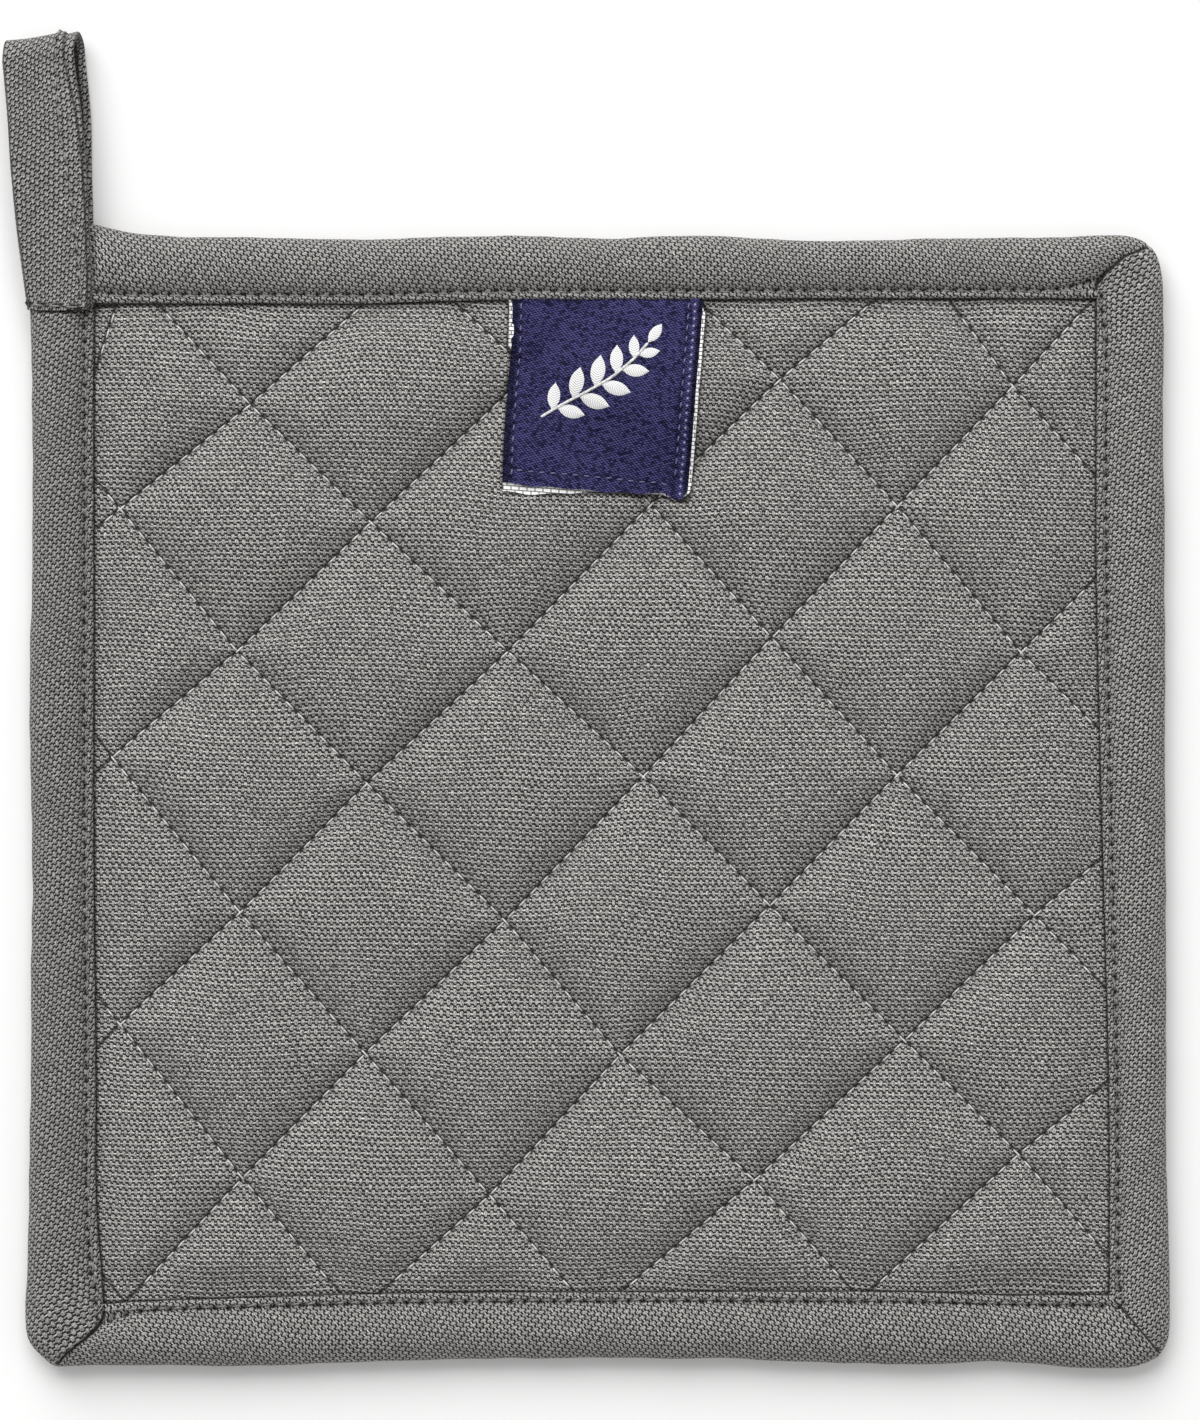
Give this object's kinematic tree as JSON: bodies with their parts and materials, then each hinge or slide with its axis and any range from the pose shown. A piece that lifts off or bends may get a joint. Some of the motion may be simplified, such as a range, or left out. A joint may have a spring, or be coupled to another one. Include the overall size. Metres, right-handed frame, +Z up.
{
  "type": "quilted pot holder",
  "caption": "Square quilted cotton pot holder with a bias-bound edge, a folded hanging loop at one corner and a small sewn label.",
  "frame": {"origin": "on the surface it lies on, under the middle of the whole footprint, hanging loop included", "axes": "+X to the right, +Y towards the edge whose left corner carries the loop, +Z up out of the labelled face"},
  "size_m": [0.2051, 0.2359, 0.0093],
  "materials": {
    "quilted_cotton": "matte plain-weave cotton, mid grey",
    "bias_tape": "the same cotton cut on the bias",
    "loop_tape": "the same cotton cut on the bias",
    "label_weave": "fine navy twill with a slight sheen"
  },
  "bodies": {
    "root": {"quilted_pad": "quilted_cotton", "binding": "bias_tape", "hanging_loop": "loop_tape", "woven_label": "label_weave"}
  },
  "joints": []
}
